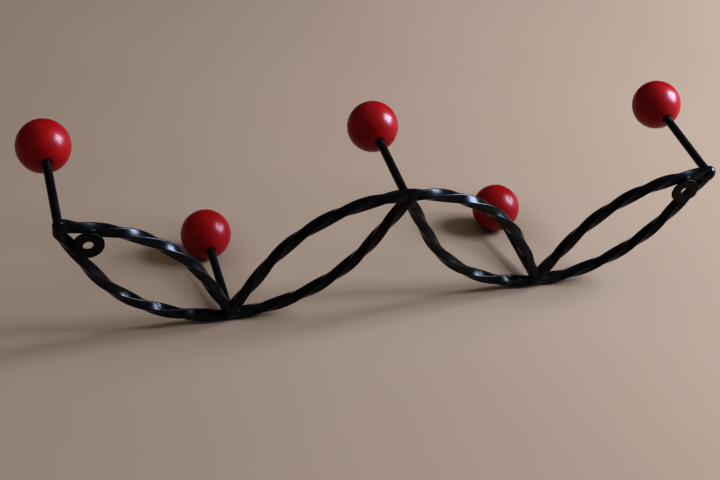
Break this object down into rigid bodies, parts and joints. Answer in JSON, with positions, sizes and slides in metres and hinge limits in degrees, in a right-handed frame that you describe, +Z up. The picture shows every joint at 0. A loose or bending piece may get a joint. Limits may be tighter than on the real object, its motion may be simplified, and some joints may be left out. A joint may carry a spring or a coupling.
{
  "type": "wall hook rack",
  "caption": "Wall rack of twisted black square bars bent in overlapping bows, with round pegs that end in red wooden balls to hang coats on.",
  "frame": {"origin": "on the wall plane, half way between the centres of the two fixing holes", "axes": "+X along the rack, to the right when facing the wall; +Y into the wall; +Z up. The pegs point along -Y."},
  "size_m": [0.611, 0.1317, 0.1575],
  "materials": {
    "bar_enamel": "gloss brushed black enamel",
    "weld_enamel": "gloss black enamel over smooth weld beads",
    "peg_enamel": "satin black enamel",
    "washer_enamel": "satin black enamel",
    "ball_lacquer": "red gloss lacquer"
  },
  "bodies": {
    "root": {"hanging_bow_left": "bar_enamel", "hanging_bow_right": "bar_enamel", "middle_bow": "bar_enamel", "end_bow_left": "bar_enamel", "end_bow_right": "bar_enamel", "peg_1": "peg_enamel", "peg_2": "peg_enamel", "peg_3": "peg_enamel", "peg_4": "peg_enamel", "peg_5": "peg_enamel", "ball_1": "ball_lacquer", "ball_2": "ball_lacquer", "ball_3": "ball_lacquer", "ball_4": "ball_lacquer", "ball_5": "ball_lacquer", "washer_left": "washer_enamel", "washer_right": "washer_enamel", "peg_weld_1": "weld_enamel", "peg_weld_2": "weld_enamel", "peg_weld_3": "weld_enamel", "peg_weld_4": "weld_enamel", "peg_weld_5": "weld_enamel", "middle_weld": "weld_enamel", "low_weld_left": "weld_enamel", "low_weld_right": "weld_enamel", "tip_weld_left": "weld_enamel", "tip_weld_right": "weld_enamel", "washer_top_weld_left": "weld_enamel", "washer_top_weld_right": "weld_enamel", "washer_side_weld_left": "weld_enamel", "washer_side_weld_right": "weld_enamel"}
  },
  "joints": []
}
